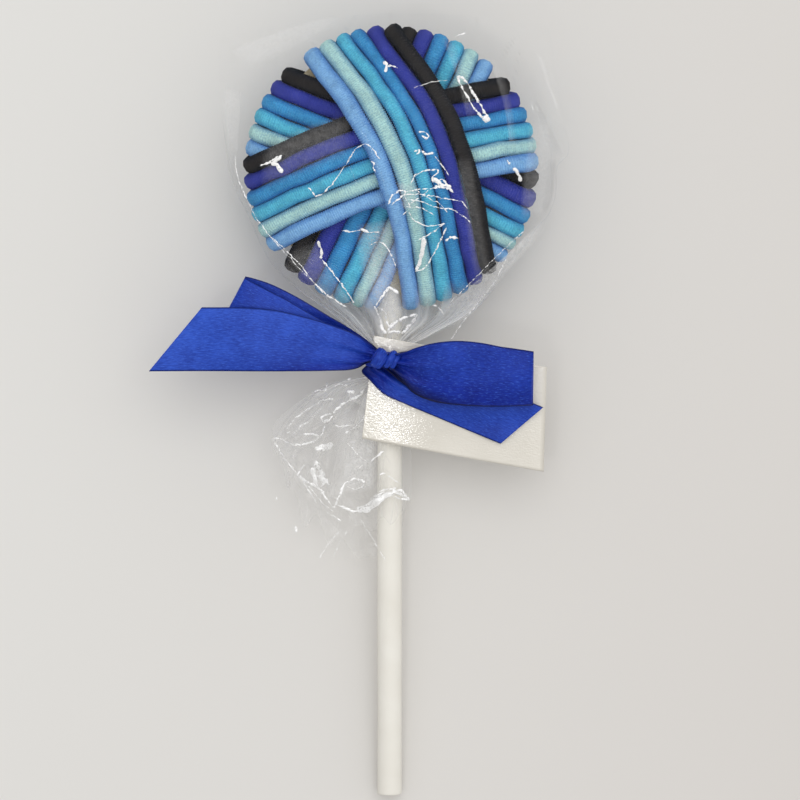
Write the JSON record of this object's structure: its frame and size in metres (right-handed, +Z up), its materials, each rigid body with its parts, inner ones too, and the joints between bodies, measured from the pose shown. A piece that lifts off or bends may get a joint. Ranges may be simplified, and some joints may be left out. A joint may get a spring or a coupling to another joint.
{
  "type": "hair tie lollipop",
  "caption": "Gift lollipop of elastic hair ties stretched round a card disc on a paper stick, in a clear bag gathered at the neck with a satin bow and a blank tag.",
  "frame": {"origin": "Middle of the bounding box on the surface that the lollipop lies on.", "axes": "+Y runs from the stick's end to the head, +Z up is the shown side, +X is to the right seen from above."},
  "size_m": [0.1046, 0.1956, 0.0386],
  "materials": {
    "stick_paper": "matt rolled paper",
    "disc_card": "matt kraft card",
    "tie_periwinkle": "ribbed elastic",
    "tie_mint": "ribbed elastic",
    "tie_turquoise": "ribbed elastic",
    "tie_azure": "ribbed elastic",
    "tie_indigo": "ribbed elastic",
    "tie_black": "ribbed elastic",
    "film": "clear glossy film",
    "ribbon_satin": "satin",
    "tag_card": "pearlescent card"
  },
  "bodies": {
    "root": {"stick": "stick_paper", "card_disc": "disc_card", "tie_lowest_periwinkle": "tie_periwinkle", "tie_lowest_mint": "tie_mint", "tie_lowest_turquoise": "tie_turquoise", "tie_lowest_azure": "tie_azure", "tie_lowest_indigo": "tie_indigo", "tie_lowest_black": "tie_black", "tie_lower_periwinkle": "tie_periwinkle", "tie_lower_mint": "tie_mint", "tie_lower_turquoise": "tie_turquoise", "tie_lower_azure": "tie_azure", "tie_lower_indigo": "tie_indigo", "tie_lower_black": "tie_black", "tie_upper_periwinkle": "tie_periwinkle", "tie_upper_mint": "tie_mint", "tie_upper_turquoise": "tie_turquoise", "tie_upper_azure": "tie_azure", "tie_upper_indigo": "tie_indigo", "tie_upper_black": "tie_black", "tie_top_periwinkle": "tie_periwinkle", "tie_top_mint": "tie_mint", "tie_top_turquoise": "tie_turquoise", "tie_top_azure": "tie_azure", "tie_top_indigo": "tie_indigo", "tie_top_black": "tie_black", "bag": "film", "ribbon_bow": "ribbon_satin", "tag": "tag_card"}
  },
  "joints": []
}
